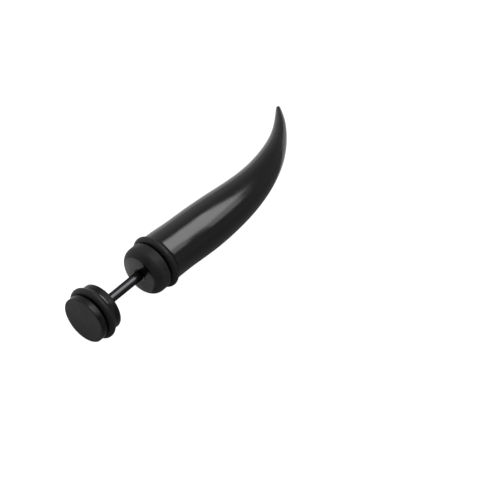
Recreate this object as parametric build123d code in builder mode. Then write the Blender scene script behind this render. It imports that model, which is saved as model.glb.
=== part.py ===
from build123d import *
from collections import namedtuple
from math import cos, radians, sin, sqrt
import os

os.makedirs("parts", exist_ok=True)

# Driving dimensions, in millimetres and degrees.
# The origin is the middle of the post, where the ear lobe sits. X runs along the post towards
# the horn, Z is up, and the jewel lies as it comes to rest by itself on a flat surface.

# Post
post_diameter = 1.2
ear_gap = 6.6
stud_diameter = 0.88
stud_end_chamfer = 0.05
horn_stud_length = 3.0
disc_stud_length = 2.2

# Holes that take the post's two ends
horn_hole_clearance = 0.02
disc_hole_clearance = 0.07
hole_spare_depth = 0.3
lead_in_diameter = 1.7
lead_in_angle = 90
shoulder_gap = 0.02

# Flat end
disc_diameter = 6.2
disc_thickness = 3.39
disc_face_round = 0.22
disc_back_round = 0.2
disc_ring_inset = 1.68

# Horn
horn_diameter = 6.4
horn_length = 34.65
horn_butt_length = 3.8
horn_face_diameter = 5.0
horn_shoulder_round = 1.3
horn_ring_inset = 2.92

# Rubber rings and their grooves
ring_outer_diameter = 7.12
ring_section = 1.0
ring_front_play = 0.26
ring_back_play = 0.06
ring_floor_gap = 0.03
groove_lip_round = 0.08

# How it lies: the post dips towards the horn, and the horn's bend dips towards its tip
rest_pitch = 3.6
rest_roll = 11.8

# Cross-sections of the horn behind its straight butt: distance along the centreline as a share
# of the curved length, lean of the centreline from the post's line in degrees, and width as a
# share of horn_diameter
HornSection = namedtuple("HornSection", "along lean girth")
horn_sections = [
    HornSection(along=0.000, lean=0.0, girth=1.000),
    HornSection(along=0.088, lean=-5.5, girth=0.977),
    HornSection(along=0.201, lean=-2.1, girth=0.976),
    HornSection(along=0.331, lean=-2.3, girth=0.918),
    HornSection(along=0.461, lean=4.4, girth=0.793),
    HornSection(along=0.591, lean=13.9, girth=0.642),
    HornSection(along=0.721, lean=25.3, girth=0.478),
    HornSection(along=0.835, lean=35.4, girth=0.312),
    HornSection(along=0.932, lean=44.8, girth=0.190),
    HornSection(along=1.000, lean=49.0, girth=0.085),
]

# The bend plane holds the post's line and the horn's centreline. Its x runs along the post, and
# its y points to the side that the tip bends to.
pitch, roll = radians(rest_pitch), radians(rest_roll)
bend = Plane(
    origin=(0, 0, 0),
    x_dir=(cos(pitch), 0, -sin(pitch)),
    z_dir=(cos(roll) * sin(pitch), sin(roll), cos(roll) * cos(pitch)),
)
post_line = Axis(bend.origin, bend.x_dir)
across_post = Plane(bend.origin, x_dir=bend.z_dir, z_dir=bend.x_dir)

# Places along the post's line, from its middle
horn_face_x = ear_gap / 2
disc_back_x = -ear_gap / 2
disc_face_x = disc_back_x - disc_thickness
shank_length = ear_gap - 2 * shoulder_gap
butt_end_x = horn_face_x + horn_butt_length
curved_length = horn_length - horn_butt_length

# Rings and grooves
disc_ring_x = disc_face_x + disc_ring_inset
horn_ring_x = horn_face_x + horn_ring_inset
ring_circle_radius = (ring_outer_diameter - ring_section) / 2
groove_floor_radius = ring_circle_radius - ring_section / 2 - ring_floor_gap
groove_front = ring_section / 2 + ring_front_play
groove_width = ring_section + ring_front_play + ring_back_play

# The horn's shoulder is an arc from the rim of its small flat face out to its full width
shoulder_reach = (horn_diameter - horn_face_diameter) / 2
shoulder_drop = horn_shoulder_round - shoulder_reach
shoulder_length = sqrt(horn_shoulder_round**2 - shoulder_drop**2)


def horn_planes():
    """A plane square to the horn's centreline at each cross-section, from the butt to the tip."""
    x, y, came_from = butt_end_x, 0, horn_sections[0]
    planes = []
    for section in horn_sections:
        stretch = (section.along - came_from.along) * curved_length
        mean_lean = radians(section.lean + came_from.lean) / 2
        x += stretch * cos(mean_lean)
        y += stretch * sin(mean_lean)
        came_from = section
        lean = radians(section.lean)
        planes.append(
            Plane(
                origin=bend.from_local_coords((x, y, 0)),
                x_dir=bend.z_dir,
                z_dir=bend.x_dir * cos(lean) + bend.y_dir * sin(lean),
            )
        )
    return planes


# Horn: a straight butt with a ring groove, a lofted body with a round tip, and a hole for the post
tip_plane = horn_planes()[-1]
tip_radius = horn_sections[-1].girth * horn_diameter / 2
with BuildPart() as horn:
    with BuildSketch(bend) as butt_profile:
        with BuildLine():
            face_rim = (horn_face_x, horn_face_diameter / 2)
            shoulder_end = (horn_face_x + shoulder_length, horn_diameter / 2)
            RadiusArc(face_rim, shoulder_end, horn_shoulder_round)
            Polyline(
                shoulder_end,
                (butt_end_x, horn_diameter / 2),
                (butt_end_x, 0),
                (horn_face_x, 0),
                face_rim,
            )
        make_face()
        with Locations((horn_ring_x - groove_front, groove_floor_radius)):
            Rectangle(
                groove_width,
                horn_diameter / 2,
                align=(Align.MIN, Align.MIN),
                mode=Mode.SUBTRACT,
            )
        groove_lips = butt_profile.vertices().group_by(Axis.Y)[-1].sort_by(Axis.X)[1:3]
        fillet(groove_lips, radius=groove_lip_round)
    revolve(axis=post_line)
    for section, plane in zip(horn_sections, horn_planes()):
        with BuildSketch(plane):
            Circle(section.girth * horn_diameter / 2)
    loft()
    with Locations(tip_plane):
        Sphere(tip_radius)
    with Locations(-across_post.offset(horn_face_x)):
        CounterSinkHole(
            radius=stud_diameter / 2 + horn_hole_clearance,
            counter_sink_radius=lead_in_diameter / 2,
            counter_sink_angle=lead_in_angle,
            depth=horn_stud_length + hole_spare_depth,
        )
horn.part.label = "horn"
export_step(horn.part, "parts/horn.step")

# Post: a shank between two thinner studs
with BuildPart() as post:
    with BuildSketch(across_post):
        Circle(post_diameter / 2)
    extrude(amount=shank_length / 2, both=True)
    with BuildSketch(across_post.offset(shank_length / 2)):
        Circle(stud_diameter / 2)
    extrude(amount=horn_stud_length)
    with BuildSketch(across_post.offset(-shank_length / 2)):
        Circle(stud_diameter / 2)
    extrude(amount=-disc_stud_length)
    stud_rims = post.edges().filter_by(GeomType.CIRCLE).sort_by(post_line)
    chamfer([stud_rims[0], stud_rims[-1]], length=stud_end_chamfer)
post.part.label = "post"
export_step(post.part, "parts/post.step")

# Flat end: a thick disc with a ring groove, and a hole that screws onto the post
disc_hole_radius = stud_diameter / 2 + disc_hole_clearance
with BuildPart() as end_disc:
    with BuildSketch(bend) as disc_profile:
        with Locations((disc_face_x, 0)):
            Rectangle(disc_thickness, disc_diameter / 2, align=(Align.MIN, Align.MIN))
        face_corner = disc_profile.vertices().group_by(Axis.Y)[-1].sort_by(Axis.X)[0]
        fillet(face_corner, radius=disc_face_round)
        back_corner = disc_profile.vertices().group_by(Axis.Y)[-1].sort_by(Axis.X)[-1]
        fillet(back_corner, radius=disc_back_round)
        with Locations((disc_ring_x - groove_front, groove_floor_radius)):
            Rectangle(
                groove_width,
                disc_diameter / 2,
                align=(Align.MIN, Align.MIN),
                mode=Mode.SUBTRACT,
            )
        groove_lips = disc_profile.vertices().group_by(Axis.Y)[-1].sort_by(Axis.X)[1:3]
        fillet(groove_lips, radius=groove_lip_round)
    revolve(axis=post_line)
    with Locations(across_post.offset(disc_back_x)):
        CounterSinkHole(
            radius=disc_hole_radius,
            counter_sink_radius=lead_in_diameter / 2,
            counter_sink_angle=lead_in_angle,
            depth=disc_stud_length + hole_spare_depth,
        )
end_disc.part.label = "end_disc"
export_step(end_disc.part, "parts/end_disc.step")

# Rubber ring on the horn
with BuildPart() as horn_o_ring:
    with BuildSketch(bend):
        with Locations((horn_ring_x, ring_circle_radius)):
            Circle(ring_section / 2)
    revolve(axis=post_line)
horn_o_ring.part.label = "horn_o_ring"
export_step(horn_o_ring.part, "parts/horn_o_ring.step")

# Rubber ring on the flat end
with BuildPart() as disc_o_ring:
    with BuildSketch(bend):
        with Locations((disc_ring_x, ring_circle_radius)):
            Circle(ring_section / 2)
    revolve(axis=post_line)
disc_o_ring.part.label = "disc_o_ring"
export_step(disc_o_ring.part, "parts/disc_o_ring.step")
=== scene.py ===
"""Black ear stud: a polished horn and a screw-on flat end on a steel post, with rubber rings."""
import math
from collections import namedtuple

import bpy
import numpy as np
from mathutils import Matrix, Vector


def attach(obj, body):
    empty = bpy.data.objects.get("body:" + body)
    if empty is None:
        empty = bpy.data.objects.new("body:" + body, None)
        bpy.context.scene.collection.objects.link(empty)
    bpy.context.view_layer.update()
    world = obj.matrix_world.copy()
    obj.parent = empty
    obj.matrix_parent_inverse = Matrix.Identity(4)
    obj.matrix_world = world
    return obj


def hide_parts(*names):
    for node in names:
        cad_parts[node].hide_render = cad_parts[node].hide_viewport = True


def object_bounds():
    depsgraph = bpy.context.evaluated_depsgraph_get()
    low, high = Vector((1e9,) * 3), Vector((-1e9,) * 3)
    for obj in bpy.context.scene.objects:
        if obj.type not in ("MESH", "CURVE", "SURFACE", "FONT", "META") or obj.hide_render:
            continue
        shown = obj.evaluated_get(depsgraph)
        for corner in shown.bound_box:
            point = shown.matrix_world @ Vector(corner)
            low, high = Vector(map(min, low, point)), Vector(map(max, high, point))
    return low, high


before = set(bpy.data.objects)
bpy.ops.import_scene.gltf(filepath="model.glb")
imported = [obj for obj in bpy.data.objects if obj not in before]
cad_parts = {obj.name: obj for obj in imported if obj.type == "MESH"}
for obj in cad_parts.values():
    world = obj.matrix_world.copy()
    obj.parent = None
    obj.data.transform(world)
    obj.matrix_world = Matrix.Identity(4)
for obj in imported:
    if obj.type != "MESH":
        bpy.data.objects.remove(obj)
CAD_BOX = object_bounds()

# Sizes, in millimetres and degrees. X runs along the post from its middle towards the horn.
MM = 0.001
REST_PITCH = math.radians(3.6)
REST_ROLL = math.radians(11.8)

POST_RADIUS = 0.6
EAR_GAP = 6.6
SHOULDER_GAP = 0.02
SHOULDER_ROUND = 0.05
STUD_RADIUS = 0.44
STUD_CHAMFER = 0.05
HORN_STUD_LENGTH = 3.0
DISC_STUD_LENGTH = 2.2
THREAD_PITCH = 0.25
THREAD_HEIGHT = 0.055
THREAD_RUN_OUT = 0.1

HORN_HOLE_RADIUS = 0.46
DISC_HOLE_RADIUS = 0.51
HOLE_SPARE_DEPTH = 0.3
LEAD_IN_RADIUS = 0.85

HORN_RADIUS = 3.2
HORN_LENGTH = 34.65
HORN_BUTT_LENGTH = 3.8
HORN_FACE_RADIUS = 2.5
HORN_SHOULDER_ROUND = 1.3
HORN_RING_INSET = 2.92

DISC_RADIUS = 3.1
DISC_THICKNESS = 3.39
DISC_FACE_ROUND = 0.12
DISC_BACK_ROUND = 0.2
DISC_RING_INSET = 1.68

RING_OUTER_RADIUS = 3.56
RING_SECTION_RADIUS = 0.5
RING_FRONT_PLAY = 0.26
RING_BACK_PLAY = 0.06
RING_FLOOR_GAP = 0.03
GROOVE_LIP_ROUND = 0.08

# How finely the pieces are made
ROUND_SIDES = 128
POST_SIDES = 48
THREAD_ROWS = 72
HORN_ROWS = 150
JOINED_POINTS_GAP = 0.0005
CRISP_EDGE = math.radians(38)

# Sections of the horn behind its straight butt: distance along the centreline as a share of the
# curved length, lean of the centreline from the post's line in degrees, and width as a share of
# the butt's
Section = namedtuple("Section", "along lean girth")
HORN_SECTIONS = (
    Section(along=0.000, lean=0.0, girth=1.000),
    Section(along=0.088, lean=-5.5, girth=0.977),
    Section(along=0.201, lean=-2.1, girth=0.976),
    Section(along=0.331, lean=-2.3, girth=0.918),
    Section(along=0.461, lean=4.4, girth=0.793),
    Section(along=0.591, lean=13.9, girth=0.642),
    Section(along=0.721, lean=25.3, girth=0.478),
    Section(along=0.835, lean=35.4, girth=0.312),
    Section(along=0.932, lean=44.8, girth=0.190),
    Section(along=1.000, lean=49.0, girth=0.085),
)

HORN_FACE_X = EAR_GAP / 2
DISC_BACK_X = -EAR_GAP / 2
DISC_FACE_X = DISC_BACK_X - DISC_THICKNESS
HORN_RING_X = HORN_FACE_X + HORN_RING_INSET
DISC_RING_X = DISC_FACE_X + DISC_RING_INSET
SHOULDER_X = EAR_GAP / 2 - SHOULDER_GAP
GROOVE_FLOOR = RING_OUTER_RADIUS - 2 * RING_SECTION_RADIUS - RING_FLOOR_GAP

# Directions: along the post, to the side that the tip bends to, and square to the bend
ALONG_POST = Vector((math.cos(REST_PITCH), 0, -math.sin(REST_PITCH)))
SQUARE_TO_BEND = Vector(
    (
        math.cos(REST_ROLL) * math.sin(REST_PITCH),
        math.sin(REST_ROLL),
        math.cos(REST_ROLL) * math.cos(REST_PITCH),
    )
)
TO_BEND = SQUARE_TO_BEND.cross(ALONG_POST)
FLOOR_HEIGHT = CAD_BOX[0][2]


# Colours and nodes


def linear(hex_colour):
    """An sRGB hex colour as linear RGBA."""
    channels = [int(hex_colour[i : i + 2], 16) / 255 for i in (1, 3, 5)]
    return [c / 12.92 if c <= 0.04045 else ((c + 0.055) / 1.055) ** 2.4 for c in channels] + [1.0]


def add_node(tree, kind, links=None, **settings):
    """A new node: plain names are its properties, `links` gives its inputs values or outputs."""
    node = tree.nodes.new(kind)
    for name, value in settings.items():
        setattr(node, name, value)
    for name, value in (links or {}).items():
        socket = node.inputs[name]
        if isinstance(value, bpy.types.NodeSocket):
            tree.links.new(value, socket)
        else:
            socket.default_value = value
    return node


# Half-outlines: each row is a place on a middle line, the way forward along it and the reach
# from it. An outer wall runs from the tip's side towards the flat end's, so that its faces look
# outward. Satin is 1 where the surface is satin, and thread is 1 where it is threaded.

Row = namedtuple("Row", "middle forward reach satin thread")


def on_post(x, reach, satin=0.0, thread=0.0):
    """A row round the post's line."""
    return Row(x * ALONG_POST, ALONG_POST, reach, satin, thread)


def arc(x, reach, radius, start, end, steps=8):
    """Places on an arc round (x, reach), between two angles measured from the post's line."""
    for step in range(steps + 1):
        angle = math.radians(start + (end - start) * step / steps)
        yield x + radius * math.cos(angle), reach + radius * math.sin(angle)


def stretch(first, last, steps):
    """Evenly spaced values from first to last."""
    return [first + (last - first) * step / steps for step in range(steps + 1)]


def smooth_curve(places, values, start_slope):
    """A smooth curve through the values: a function that gives value and slope at a place."""
    gaps = np.diff(places)
    slopes = np.diff(values) / gaps
    matrix = np.eye(len(places))
    matrix[0, :2] = 2 * gaps[0], gaps[0]
    wanted = np.zeros(len(places))
    wanted[0] = 6 * (slopes[0] - start_slope)
    for i in range(1, len(places) - 1):
        matrix[i, i - 1 : i + 2] = gaps[i - 1], 2 * (gaps[i - 1] + gaps[i]), gaps[i]
        wanted[i] = 6 * (slopes[i] - slopes[i - 1])
    bends = np.linalg.solve(matrix, wanted)

    def at(place):
        i = int(np.clip(np.searchsorted(places, place) - 1, 0, len(gaps) - 1))
        after, before, gap = place - places[i], places[i + 1] - place, gaps[i]
        left = values[i] / gap - bends[i] * gap / 6
        right = values[i + 1] / gap - bends[i + 1] * gap / 6
        value = (bends[i] * before**3 + bends[i + 1] * after**3) / (6 * gap)
        value += left * before + right * after
        slope = (bends[i + 1] * after**2 - bends[i] * before**2) / (2 * gap) - left + right
        return float(value), float(slope)

    return at


def horn_curves():
    """The horn's centreline and width behind the butt, as functions of the distance along it."""
    x, y, came_from = HORN_FACE_X + HORN_BUTT_LENGTH, 0.0, HORN_SECTIONS[0]
    curved_length = HORN_LENGTH - HORN_BUTT_LENGTH
    places, xs, ys, reaches = [], [], [], []
    for section in HORN_SECTIONS:
        length = (section.along - came_from.along) * curved_length
        lean = math.radians(section.lean + came_from.lean) / 2
        x += length * math.cos(lean)
        y += length * math.sin(lean)
        came_from = section
        places.append(HORN_BUTT_LENGTH + section.along * curved_length)
        xs.append(x)
        ys.append(y)
        reaches.append(section.girth * HORN_RADIUS)
    return (
        smooth_curve(places, xs, 1.0),
        smooth_curve(places, ys, 0.0),
        smooth_curve(places, reaches, 0.0),
    )


HORN_X, HORN_Y, HORN_REACH = horn_curves()


def on_horn(along, reach):
    """A row round the horn's centreline, and past its last section on a straight line."""
    place = min(along, HORN_LENGTH)
    (x, x_slope), (y, y_slope) = HORN_X(place), HORN_Y(place)
    forward = (x_slope * ALONG_POST + y_slope * TO_BEND).normalized()
    middle = x * ALONG_POST + y * TO_BEND + (along - place) * forward
    return Row(middle, forward, reach, 0.0, 0.0)


def groove_sides(ring_x):
    """Where a ring's groove starts and ends: it is wider on the side of the flat end."""
    start = ring_x - RING_SECTION_RADIUS - RING_FRONT_PLAY
    return start, ring_x + RING_SECTION_RADIUS + RING_BACK_PLAY


def hole_rows(mouth_x, inward, radius, depth, thread=0.0):
    """A blind hole from its bottom to its lead-in. `inward` is 1 or -1, the way into the piece."""
    bottom_x = mouth_x + inward * depth
    neck_x = mouth_x + inward * (LEAD_IN_RADIUS - radius)
    # The hole's thread fills the valleys of the stud's, a hair's breadth away
    crest = radius - thread * THREAD_HEIGHT
    places = stretch(bottom_x, neck_x, THREAD_ROWS if thread else 1)
    return [
        on_post(bottom_x, 0.0),
        on_post(bottom_x, radius),
        *(on_post(x, crest, thread=thread) for x in places[1:]),
        on_post(neck_x, radius),
        on_post(mouth_x, LEAD_IN_RADIUS),
    ]


def horn_rows():
    """From the round tip along the wall and over the butt, to the bottom of the post's hole."""
    lip, shoulder = GROOVE_LIP_ROUND, HORN_SHOULDER_ROUND
    near, far = groove_sides(HORN_RING_X)
    start = math.degrees(math.asin(1 - (HORN_RADIUS - HORN_FACE_RADIUS) / shoulder))
    shoulder_middle = HORN_FACE_X + shoulder * math.cos(math.radians(start))
    butt = [
        *arc(shoulder_middle, HORN_RADIUS - shoulder, shoulder, 180 - start, 90, steps=24),
        *arc(near - lip, HORN_RADIUS - lip, lip, 90, 0, steps=4),
    ]
    rows = hole_rows(HORN_FACE_X, 1, HORN_HOLE_RADIUS, HORN_STUD_LENGTH + HOLE_SPARE_DEPTH)
    rows += [on_post(HORN_FACE_X, HORN_FACE_RADIUS)]
    rows += [on_post(*place, satin=1.0) for place in butt]
    rows += [on_post(near, GROOVE_FLOOR), on_post(far, GROOVE_FLOOR)]
    rows += [on_post(*place) for place in arc(far + lip, HORN_RADIUS - lip, lip, 180, 90, steps=4)]
    tip_reach, tip_slope = HORN_REACH(HORN_LENGTH)
    taper = math.atan(-tip_slope)
    cap_radius = tip_reach / math.cos(taper)
    cap_middle = HORN_LENGTH - cap_radius * math.sin(taper)
    for along in stretch(HORN_BUTT_LENGTH, HORN_LENGTH, HORN_ROWS):
        rows.append(on_horn(along, HORN_REACH(along)[0]))
    for along, reach in arc(cap_middle, 0, cap_radius, 90 - math.degrees(taper), 0, steps=12):
        rows.append(on_horn(along, abs(reach)))
    return rows[::-1]


def disc_rows():
    """From the bottom of the threaded hole, over the back and the wall, to the face's middle."""
    lip, face_round, back_round = GROOVE_LIP_ROUND, DISC_FACE_ROUND, DISC_BACK_ROUND
    far, near = groove_sides(DISC_RING_X)
    wall = [
        *arc(DISC_BACK_X - back_round, DISC_RADIUS - back_round, back_round, 0, 90, steps=5),
        *arc(near + lip, DISC_RADIUS - lip, lip, 90, 180, steps=4),
        (near, GROOVE_FLOOR),
        (far, GROOVE_FLOOR),
        *arc(far - lip, DISC_RADIUS - lip, lip, 0, 90, steps=4),
    ]
    face = [
        *arc(DISC_FACE_X + face_round, DISC_RADIUS - face_round, face_round, 90, 180, steps=10),
        *((DISC_FACE_X, reach) for reach in stretch(DISC_RADIUS - face_round, 0, 12)[1:]),
    ]
    depth = DISC_STUD_LENGTH + HOLE_SPARE_DEPTH
    rows = hole_rows(DISC_BACK_X, -1, DISC_HOLE_RADIUS, depth, thread=1.0)
    rows += [on_post(*place) for place in wall]
    return rows + [on_post(*place, satin=1.0) for place in face]


def post_rows():
    """From the end that is glued into the horn to the threaded end."""
    horn_end, disc_end = SHOULDER_X + HORN_STUD_LENGTH, -SHOULDER_X - DISC_STUD_LENGTH
    chamfer_reach, round_reach = STUD_RADIUS - STUD_CHAMFER, POST_RADIUS - SHOULDER_ROUND
    round_x = SHOULDER_X - SHOULDER_ROUND
    shank = [
        (horn_end, 0),
        (horn_end, chamfer_reach),
        (horn_end - STUD_CHAMFER, STUD_RADIUS),
        (SHOULDER_X, STUD_RADIUS),
        *arc(round_x, round_reach, SHOULDER_ROUND, 0, 90, steps=4),
        *((x, POST_RADIUS) for x in stretch(round_x, -round_x, 24)[1:-1]),
        *arc(-round_x, round_reach, SHOULDER_ROUND, 90, 180, steps=4),
        (-SHOULDER_X, STUD_RADIUS),
    ]
    thread_start, thread_end = -SHOULDER_X - THREAD_RUN_OUT, disc_end + THREAD_RUN_OUT
    threaded = stretch(thread_start, thread_end, THREAD_ROWS)[1:-1]
    end = [
        (thread_end, STUD_RADIUS),
        (disc_end + STUD_CHAMFER, STUD_RADIUS),
        (disc_end, chamfer_reach),
        (disc_end, 0),
    ]
    return [
        *(on_post(*place) for place in shank),
        on_post(thread_start, STUD_RADIUS),
        *(on_post(x, STUD_RADIUS, thread=1.0) for x in threaded),
        *(on_post(*place) for place in end),
    ]


def ring_rows(ring_x):
    """All round a ring's section."""
    middle = RING_OUTER_RADIUS - RING_SECTION_RADIUS
    return [on_post(*place) for place in arc(ring_x, middle, RING_SECTION_RADIUS, 0, 360, steps=40)]


# Geometry Nodes: wraps an outline round its middle line


def turned_tree():
    """The tree that turns an outline's rows into a closed surface."""
    tree = bpy.data.node_groups.new("turned_from_outline", "GeometryNodeTree")
    for name, kind in (
        ("Outline", "NodeSocketGeometry"),
        ("Sides", "NodeSocketInt"),
        ("Thread Pitch", "NodeSocketFloat"),
        ("Thread Height", "NodeSocketFloat"),
        ("Sharp Angle", "NodeSocketFloat"),
        ("Finish", "NodeSocketMaterial"),
        ("Satin Finish", "NodeSocketMaterial"),
    ):
        tree.interface.new_socket(name, in_out="INPUT", socket_type=kind)
    tree.interface.new_socket("Surface", in_out="OUTPUT", socket_type="NodeSocketGeometry")
    given = add_node(tree, "NodeGroupInput").outputs
    outline, sides = given["Outline"], given["Sides"]
    whole_maths, maths = "FunctionNodeIntegerMath", "ShaderNodeMath"

    # A flat net of points, one line of it for each row of the outline
    links = {"Geometry": outline}
    counted = add_node(tree, "GeometryNodeAttributeDomainSize", links, component="MESH").outputs
    across_net = add_node(tree, whole_maths, {0: sides, 1: 1}, operation="ADD").outputs[0]
    links = {"Vertices X": counted["Point Count"], "Vertices Y": across_net}
    net = add_node(tree, "GeometryNodeMeshGrid", links).outputs["Mesh"]
    index = add_node(tree, "GeometryNodeInputIndex").outputs[0]
    links = {0: index, 1: across_net}
    row = add_node(tree, whole_maths, links, operation="DIVIDE_FLOOR").outputs[0]
    column = add_node(tree, whole_maths, links, operation="MODULO").outputs[0]

    # What the outline says for each row
    told = {}
    for name, kind in (
        ("forward", "FLOAT_VECTOR"),
        ("across", "FLOAT_VECTOR"),
        ("along", "FLOAT"),
        ("reach", "FLOAT"),
        ("satin", "FLOAT"),
        ("thread", "FLOAT"),
    ):
        stored = add_node(tree, "GeometryNodeInputNamedAttribute", {"Name": name}, data_type=kind)
        links = {"Geometry": outline, "Value": stored.outputs["Attribute"], "Index": row}
        told[name] = add_node(tree, "GeometryNodeSampleIndex", links, data_type=kind).outputs[0]
    place = add_node(tree, "GeometryNodeInputPosition").outputs[0]
    links = {"Geometry": outline, "Value": place, "Index": row}
    sampled = add_node(tree, "GeometryNodeSampleIndex", links, data_type="FLOAT_VECTOR")
    middle = sampled.outputs["Value"]

    # The thread's ridge climbs by one pitch in each turn
    turn = add_node(tree, maths, {0: column, 1: sides}, operation="DIVIDE").outputs[0]
    links = {0: told["along"], 1: given["Thread Pitch"]}
    pitches = add_node(tree, maths, links, operation="DIVIDE").outputs[0]
    climb = add_node(tree, maths, {0: pitches, 1: turn}, operation="SUBTRACT").outputs[0]
    ridge = add_node(tree, maths, {0: climb, 1: 0.5}, operation="PINGPONG").outputs[0]
    links = {0: told["thread"], 1: given["Thread Height"]}
    height = add_node(tree, maths, links, operation="MULTIPLY").outputs[0]
    doubled = add_node(tree, maths, {0: height, 1: 2.0}, operation="MULTIPLY").outputs[0]
    links = {0: ridge, 1: doubled, 2: told["reach"]}
    reach = add_node(tree, maths, links, operation="MULTIPLY_ADD").outputs[0]

    # Each point swings round the middle line
    links = {0: told["across"], "Scale": reach}
    arm = add_node(tree, "ShaderNodeVectorMath", links, operation="SCALE").outputs[0]
    angle = add_node(tree, maths, {0: turn, 1: math.tau}, operation="MULTIPLY").outputs[0]
    links = {"Vector": arm, "Axis": told["forward"], "Angle": angle}
    swung = add_node(tree, "ShaderNodeVectorRotate", links, rotation_type="AXIS_ANGLE").outputs[0]
    links = {"Geometry": net, "Position": middle, "Offset": swung}
    surface = add_node(tree, "GeometryNodeSetPosition", links).outputs[0]
    links = {"Geometry": surface, "Name": "satin", "Value": told["satin"]}
    settings = {"data_type": "FLOAT", "domain": "POINT"}
    surface = add_node(tree, "GeometryNodeStoreNamedAttribute", links, **settings).outputs[0]
    links = {"Geometry": surface, "Distance": JOINED_POINTS_GAP * MM}
    surface = add_node(tree, "GeometryNodeMergeByDistance", links).outputs[0]

    # Edges sharper than the given angle stay crisp, and all else is smooth
    bend = add_node(tree, "GeometryNodeInputMeshEdgeAngle").outputs["Unsigned Angle"]
    links = {0: bend, 1: given["Sharp Angle"]}
    soft = add_node(tree, maths, links, operation="LESS_THAN").outputs[0]
    for domain, smooth in (("EDGE", soft), ("FACE", True)):
        links = {"Geometry": surface, "Shade Smooth": smooth}
        surface = add_node(tree, "GeometryNodeSetShadeSmooth", links, domain=domain).outputs[0]
    surface = add_node(tree, "GeometryNodeRealizeInstances", {"Geometry": surface}).outputs[0]
    links = {"Geometry": surface, "Material": given["Finish"]}
    surface = add_node(tree, "GeometryNodeSetMaterial", links).outputs[0]
    links = {"Name": "satin"}
    satin = add_node(tree, "GeometryNodeInputNamedAttribute", links, data_type="FLOAT").outputs[0]
    chosen = add_node(tree, maths, {0: satin, 1: 0.5}, operation="GREATER_THAN").outputs[0]
    links = {"Geometry": surface, "Selection": chosen, "Material": given["Satin Finish"]}
    surface = add_node(tree, "GeometryNodeSetMaterial", links).outputs[0]
    add_node(tree, "NodeGroupOutput", {"Surface": surface})
    return tree


TURNED = turned_tree()


def outline_mesh(name, rows):
    """The outline as a mesh of points, one for each row, that carries what the tree reads."""
    mesh = bpy.data.meshes.new(name)
    mesh.from_pydata([row.middle * MM for row in rows], [], [])
    for label, numbers in (
        ("along", [row.middle.dot(ALONG_POST) * MM for row in rows]),
        ("reach", [row.reach * MM for row in rows]),
        ("satin", [row.satin for row in rows]),
        ("thread", [row.thread for row in rows]),
    ):
        mesh.attributes.new(label, "FLOAT", "POINT").data.foreach_set("value", numbers)
    for label, directions in (
        ("forward", [row.forward for row in rows]),
        ("across", [SQUARE_TO_BEND.cross(row.forward) for row in rows]),
    ):
        flat = [part for direction in directions for part in direction]
        mesh.attributes.new(label, "FLOAT_VECTOR", "POINT").data.foreach_set("vector", flat)
    return mesh


def make_turned(name, rows, finish, body, node, satin_finish=None, sides=ROUND_SIDES):
    """A piece turned from its outline's rows, which stands for a CAD node and rides on a body."""
    source = bpy.data.objects.new("outline", outline_mesh("outline", rows))
    bpy.context.scene.collection.objects.link(source)
    modifier = source.modifiers.new("turned", "NODES")
    modifier.node_group = TURNED
    settings = {
        "Sides": sides,
        "Thread Pitch": THREAD_PITCH * MM,
        "Thread Height": THREAD_HEIGHT * MM,
        "Sharp Angle": CRISP_EDGE,
        "Finish": finish,
        "Satin Finish": satin_finish or finish,
    }
    for item in TURNED.interface.items_tree:
        if item.name in settings:
            modifier[item.identifier] = settings[item.name]
    evaluated = source.evaluated_get(bpy.context.evaluated_depsgraph_get())
    mesh = bpy.data.meshes.new_from_object(evaluated)
    mesh.name = name
    bpy.data.objects.remove(source)
    piece = bpy.data.objects.new(name, mesh)
    bpy.context.scene.collection.objects.link(piece)
    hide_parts(node)
    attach(piece, body)


# Materials


def new_material(name, base, roughness, metallic=0.0, ior=1.5, specular=0.5):
    """A material with its constant values on the shader's own sockets, its tree and its shader."""
    material = bpy.data.materials.new(name)
    material.use_nodes = True
    shader = material.node_tree.nodes["Principled BSDF"]
    shader.inputs["Base Color"].default_value = linear(base)
    shader.inputs["Roughness"].default_value = roughness
    shader.inputs["Metallic"].default_value = metallic
    shader.inputs["IOR"].default_value = ior
    shader.inputs["Specular IOR Level"].default_value = specular
    return material, material.node_tree, shader


def post_line_places(tree):
    """Places with X along the post: the vector, its X and the distance from the post's line."""
    place = add_node(tree, "ShaderNodeTexCoord").outputs["Object"]
    links = {"Vector": place, "Rotation": (0, -REST_PITCH, 0)}
    turned = add_node(tree, "ShaderNodeMapping", links).outputs[0]
    parts = add_node(tree, "ShaderNodeSeparateXYZ", {0: turned}).outputs
    flat = add_node(tree, "ShaderNodeCombineXYZ", {"Y": parts["Y"], "Z": parts["Z"]}).outputs[0]
    reach = add_node(tree, "ShaderNodeVectorMath", {0: flat}, operation="LENGTH").outputs["Value"]
    return turned, parts["X"], reach


def polished_acrylic():
    """Cast black acrylic, buffed: a deep even black, whose reflections have slightly hazy edges."""
    material, tree, shader = new_material("black_acrylic_polished", "#030303", 0.12, ior=1.49)
    place = add_node(tree, "ShaderNodeTexCoord").outputs["Object"]
    # Haze in patches 2.5 mm wide, and ripples 4 mm wide that the buffing wheel left
    links = {"Vector": place, "Scale": 1 / (2.5 * MM), "Detail": 3.0}
    haze = add_node(tree, "ShaderNodeTexNoise", links).outputs[0]
    links = {"Value": haze, "From Min": 0.3, "From Max": 0.7, "To Min": 0.13, "To Max": 0.2}
    roughness = add_node(tree, "ShaderNodeMapRange", links).outputs[0]
    tree.links.new(roughness, shader.inputs["Roughness"])
    links = {"Vector": place, "Scale": 1 / (4 * MM), "Detail": 1.0}
    ripple = add_node(tree, "ShaderNodeTexNoise", links).outputs[0]
    links = {"Height": ripple, "Strength": 0.2, "Distance": 0.03 * MM}
    tree.links.new(add_node(tree, "ShaderNodeBump", links).outputs[0], shader.inputs["Normal"])
    return material


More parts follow.
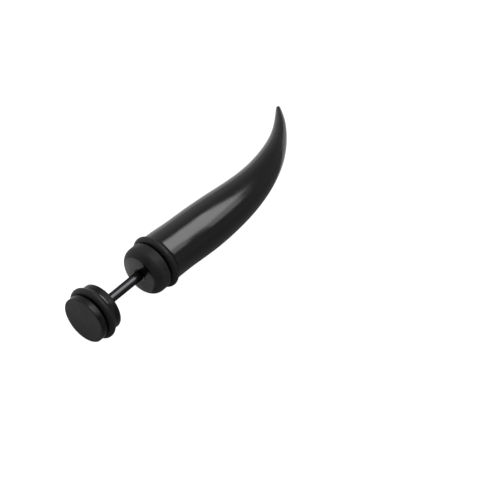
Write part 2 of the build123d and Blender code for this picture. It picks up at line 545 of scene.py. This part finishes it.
def scuffs(tree, place, size):
    """Patches of a size in millimetres: 0 where the surface is as made, 1 where it is rubbed."""
    links = {"Vector": place, "Scale": 1 / (size * MM), "Detail": 4.0}
    noise = add_node(tree, "ShaderNodeTexNoise", links).outputs[0]
    links = {"Value": noise, "From Min": 0.4, "From Max": 0.65}
    return add_node(tree, "ShaderNodeMapRange", links).outputs[0]


def satin_acrylic():
    """Black acrylic as the lathe left it: an even grey sheen, fine rings, pale rubbed patches."""
    material, tree, shader = new_material(
        "black_acrylic_satin_turned", "#1a1a1a", 0.5, ior=1.49, specular=0.2
    )
    place, along, reach = post_line_places(tree)
    rubbed = scuffs(tree, place, 1.2)
    links = {"Value": rubbed, "To Min": 0.45, "To Max": 0.6}
    roughness = add_node(tree, "ShaderNodeMapRange", links).outputs[0]
    tree.links.new(roughness, shader.inputs["Roughness"])
    links = {"Fac": rubbed, "Color1": linear("#181818"), "Color2": linear("#202020")}
    colour = add_node(tree, "ShaderNodeMixRGB", links).outputs[0]
    tree.links.new(colour, shader.inputs["Base Color"])
    # Feed marks of the tool, 0.1 mm apart, coarser than real ones so that they show
    tool_path = add_node(tree, "ShaderNodeMath", {0: along, 1: reach}, operation="ADD").outputs[0]
    links = {"W": tool_path, "Scale": 1 / (0.1 * MM), "Detail": 2.0}
    marks = add_node(tree, "ShaderNodeTexNoise", links, noise_dimensions="1D").outputs[0]
    links = {"Height": marks, "Strength": 0.3, "Distance": 0.01 * MM}
    tree.links.new(add_node(tree, "ShaderNodeBump", links).outputs[0], shader.inputs["Normal"])
    return material


def coated_steel():
    """Surgical steel with a black vapour coating: a dark grey mirror, hazed by turning lines."""
    material, tree, shader = new_material("steel_black_vapour_coated", "#3c3c3e", 0.2, metallic=1.0)
    shader.inputs["Specular Tint"].default_value = linear("#606060")
    along = post_line_places(tree)[1]
    # Turning lines 0.08 mm apart, coarser than real ones so that they show
    links = {"W": along, "Scale": 1 / (0.08 * MM), "Detail": 2.0}
    lines = add_node(tree, "ShaderNodeTexNoise", links, noise_dimensions="1D").outputs[0]
    links = {"Value": lines, "To Min": 0.1, "To Max": 0.25}
    roughness = add_node(tree, "ShaderNodeMapRange", links).outputs[0]
    tree.links.new(roughness, shader.inputs["Roughness"])
    links = {"Height": lines, "Strength": 0.2, "Distance": 0.004 * MM}
    tree.links.new(add_node(tree, "ShaderNodeBump", links).outputs[0], shader.inputs["Normal"])
    return material


def nitrile_rubber():
    """Moulded black nitrile rubber: a soft dull sheen that a fine grain breaks up."""
    material, tree, shader = new_material(
        "nitrile_rubber_moulded", "#060606", 0.55, ior=1.52, specular=0.35
    )
    place = add_node(tree, "ShaderNodeTexCoord").outputs["Object"]
    # Grain 0.25 mm wide, coarser than a real mould's so that it shows
    links = {"Vector": place, "Scale": 1 / (0.25 * MM), "Detail": 3.0}
    grain = add_node(tree, "ShaderNodeTexNoise", links).outputs[0]
    links = {"Value": grain, "From Min": 0.3, "From Max": 0.7, "To Min": 0.42, "To Max": 0.68}
    roughness = add_node(tree, "ShaderNodeMapRange", links).outputs[0]
    tree.links.new(roughness, shader.inputs["Roughness"])
    links = {"Height": grain, "Strength": 0.5, "Distance": 0.02 * MM}
    tree.links.new(add_node(tree, "ShaderNodeBump", links).outputs[0], shader.inputs["Normal"])
    return material


def scuffed_acrylic():
    """Black acrylic worn by handling: a glossy wall with dull patches and one bright worn edge."""
    material, tree, shader = new_material(
        "black_acrylic_scuffed", "#030303", 0.4, ior=1.49, specular=0.2
    )
    place, along, _ = post_line_places(tree)
    # Patches 1.8 mm long, and narrower round the wall
    links = {"Vector": place, "Scale": (1.0, 1.6, 1.6)}
    rubbed = scuffs(tree, add_node(tree, "ShaderNodeMapping", links).outputs[0], 1.8)
    links = {"Fac": rubbed, "Color1": linear("#030303"), "Color2": linear("#0f0f0f")}
    colour = add_node(tree, "ShaderNodeMixRGB", links).outputs[0]
    tree.links.new(colour, shader.inputs["Base Color"])
    links = {"Value": rubbed, "To Min": 0.2, "To Max": 0.55}
    worn = add_node(tree, "ShaderNodeMapRange", links).outputs[0]
    # The groove's rear edge is rubbed bright in a strip 0.2 mm wide, which fades out over 0.04 mm
    half_strip = 0.1 * MM
    strip_middle = groove_sides(DISC_RING_X)[1] * MM + half_strip
    links = {0: along, 1: strip_middle}
    from_strip = add_node(tree, "ShaderNodeMath", links, operation="SUBTRACT").outputs[0]
    distance = add_node(tree, "ShaderNodeMath", {0: from_strip}, operation="ABSOLUTE").outputs[0]
    for socket, inside, outside in (("Roughness", 0.1, worn), ("Specular IOR Level", 0.6, 0.2)):
        links = {
            "Value": distance,
            "From Min": half_strip,
            "From Max": half_strip + 0.04 * MM,
            "To Min": inside,
            "To Max": outside,
        }
        faded = add_node(tree, "ShaderNodeMapRange", links).outputs[0]
        tree.links.new(faded, shader.inputs[socket])
    links = {"Height": rubbed, "Strength": 0.5, "Distance": 0.02 * MM}
    tree.links.new(add_node(tree, "ShaderNodeBump", links).outputs[0], shader.inputs["Normal"])
    return material


# The five pieces

POLISHED_ACRYLIC = polished_acrylic()
SATIN_ACRYLIC = satin_acrylic()
WORN_ACRYLIC = scuffed_acrylic()
COATED_STEEL = coated_steel()
RUBBER = nitrile_rubber()

make_turned("turned_horn", horn_rows(), POLISHED_ACRYLIC, "jewel", "horn", SATIN_ACRYLIC)
make_turned("threaded_post", post_rows(), COATED_STEEL, "jewel", "post", sides=POST_SIDES)
make_turned("turned_flat_end", disc_rows(), WORN_ACRYLIC, "flat_end", "end_disc", SATIN_ACRYLIC)
make_turned("rubber_ring_on_horn", ring_rows(HORN_RING_X), RUBBER, "jewel", "horn_o_ring")
make_turned("rubber_ring_on_flat_end", ring_rows(DISC_RING_X), RUBBER, "flat_end", "disc_o_ring")


# Studio: pale floor, soft light, and the camera at the photograph's angle

# Places in metres, the lens in millimetres
VIEW_HEADING = math.radians(47.866)
VIEW_DROP = math.radians(52.423)
CAMERA_DISTANCE = 1.0
CAMERA_LENS = 617.3
TABLE_REACH = 3
CARD_REACH = 2
CARD_HEIGHT = 0.05 * MM
CARDS_MEET_Y = -1.5 * MM
FRAME_MIDDLE = Vector((17.482 * MM, -3.463 * MM, FLOOR_HEIGHT))
TO_RIGHT = Vector((math.cos(VIEW_HEADING), -math.sin(VIEW_HEADING), 0))
TO_BACK = Vector((math.sin(VIEW_HEADING), math.cos(VIEW_HEADING), 0))
TO_TOP = Vector((0, 0, 1))


def from_viewer(right, back, up):
    """A place in metres from the middle of the picture, as the camera sees right, back and up."""
    return FRAME_MIDDLE + right * TO_RIGHT + back * TO_BACK + up * TO_TOP


def make_camera():
    """The camera, at the photograph's angle, with a long lens that looks at the frame's middle."""
    data = bpy.data.cameras.new("camera")
    data.lens = CAMERA_LENS
    data.clip_start = 0.01
    data.clip_end = 20
    camera = bpy.data.objects.new("camera", data)
    bpy.context.scene.collection.objects.link(camera)
    camera.location = from_viewer(
        0, -CAMERA_DISTANCE * math.cos(VIEW_DROP), CAMERA_DISTANCE * math.sin(VIEW_DROP)
    )
    camera.rotation_euler = (FRAME_MIDDLE - camera.location).to_track_quat("-Z", "Y").to_euler()
    bpy.context.scene.camera = camera


def light_table():
    """Opal acrylic lit from below: an even white that hardly shows a shadow."""
    material, _, shader = new_material("opal_light_table", "#8c8c8c", 0.9, specular=0.1)
    shader.inputs["Emission Color"].default_value = linear("#ffffff")
    shader.inputs["Emission Strength"].default_value = 0.95
    return material


def make_floor():
    """The light table's top, a square with a side along the picture's lower edge."""
    mesh = bpy.data.meshes.new("floor")
    corners = ((-1, -1), (1, -1), (1, 1), (-1, 1))
    places = [from_viewer(x * TABLE_REACH, y * TABLE_REACH, 0) for x, y in corners]
    mesh.from_pydata(places, [], [(0, 1, 2, 3)])
    mesh.materials.append(light_table())
    floor = bpy.data.objects.new("floor", mesh)
    bpy.context.scene.collection.objects.link(floor)


def make_card(name, colour, first_y, last_y):
    """A card on the table that only reflections see: a strip along X, from one Y to another."""
    mesh = bpy.data.meshes.new(name)
    z, left, right = FLOOR_HEIGHT + CARD_HEIGHT, -CARD_REACH, CARD_REACH
    corners = ((left, first_y, z), (right, first_y, z), (right, last_y, z), (left, last_y, z))
    mesh.from_pydata(corners, [], [(0, 1, 2, 3)])
    mesh.materials.append(new_material(name, colour, 0.9, specular=0.0)[0])
    card = bpy.data.objects.new(name, mesh)
    card.visible_camera = False
    card.visible_diffuse = False
    card.visible_shadow = False
    bpy.context.scene.collection.objects.link(card)


def make_soft_box(name, place, size, radiance, turn=0.0):
    """A soft box that shines down on the table, its sides `size` metres across and back."""
    data = bpy.data.lights.new(name, "AREA")
    data.shape = "RECTANGLE"
    data.size, data.size_y = size
    data.energy = radiance * math.pi * size[0] * size[1]
    light = bpy.data.objects.new(name, data)
    bpy.context.scene.collection.objects.link(light)
    light.location = place
    light.rotation_euler = (0, 0, math.radians(turn) - VIEW_HEADING)


def make_world(strength, glow):
    """A dim grey room with a broad glow low on the viewer's left, as from a window."""
    world = bpy.data.worlds.new("studio")
    world.use_nodes = True
    tree = world.node_tree
    looking = add_node(tree, "ShaderNodeTexCoord").outputs["Generated"]
    to_glow = (0.5 * TO_BACK - 0.8 * TO_RIGHT + 0.33 * TO_TOP).normalized()
    links = {0: looking, 1: to_glow}
    toward = add_node(tree, "ShaderNodeVectorMath", links, operation="DOT_PRODUCT").outputs["Value"]
    lit = add_node(tree, "ShaderNodeMath", {0: toward, 1: 0.0}, operation="MAXIMUM").outputs[0]
    falling_off = add_node(tree, "ShaderNodeMath", {0: lit, 1: 3.0}, operation="POWER").outputs[0]
    links = {0: falling_off, 1: glow, 2: strength}
    total = add_node(tree, "ShaderNodeMath", links, operation="MULTIPLY_ADD").outputs[0]
    background = tree.nodes["Background"]
    background.inputs["Color"].default_value = linear("#ffffff")
    tree.links.new(total, background.inputs["Strength"])
    bpy.context.scene.world = world


make_camera()
make_floor()
# The lit table alone would whiten every reflection near the floor. In the photograph the flank on
# the viewer's right stays dark down to its lowest edge, and the other flank mirrors a floor that is
# duller than the one the camera sees.
# The grey card is painted shade: a dull sheet that only reflections see. It darkens the floor that
# the flank on the viewer's right mirrors, while the camera still sees the table white.
make_card("painted_shade_card", "#8c8c8c", -CARD_REACH, CARDS_MEET_Y)
make_card("pale_card", "#fafafa", CARDS_MEET_Y, CARD_REACH)
make_soft_box("long_soft_box", from_viewer(0.45, 0.14, 0.5), (0.87, 0.29), 2.3, turn=-16)
make_soft_box("square_soft_box", from_viewer(0.29, 0.13, 0.495), (0.38, 0.44), 2.4)
make_world(0.34, 0.8)
bpy.context.scene.view_settings.view_transform = "Standard"
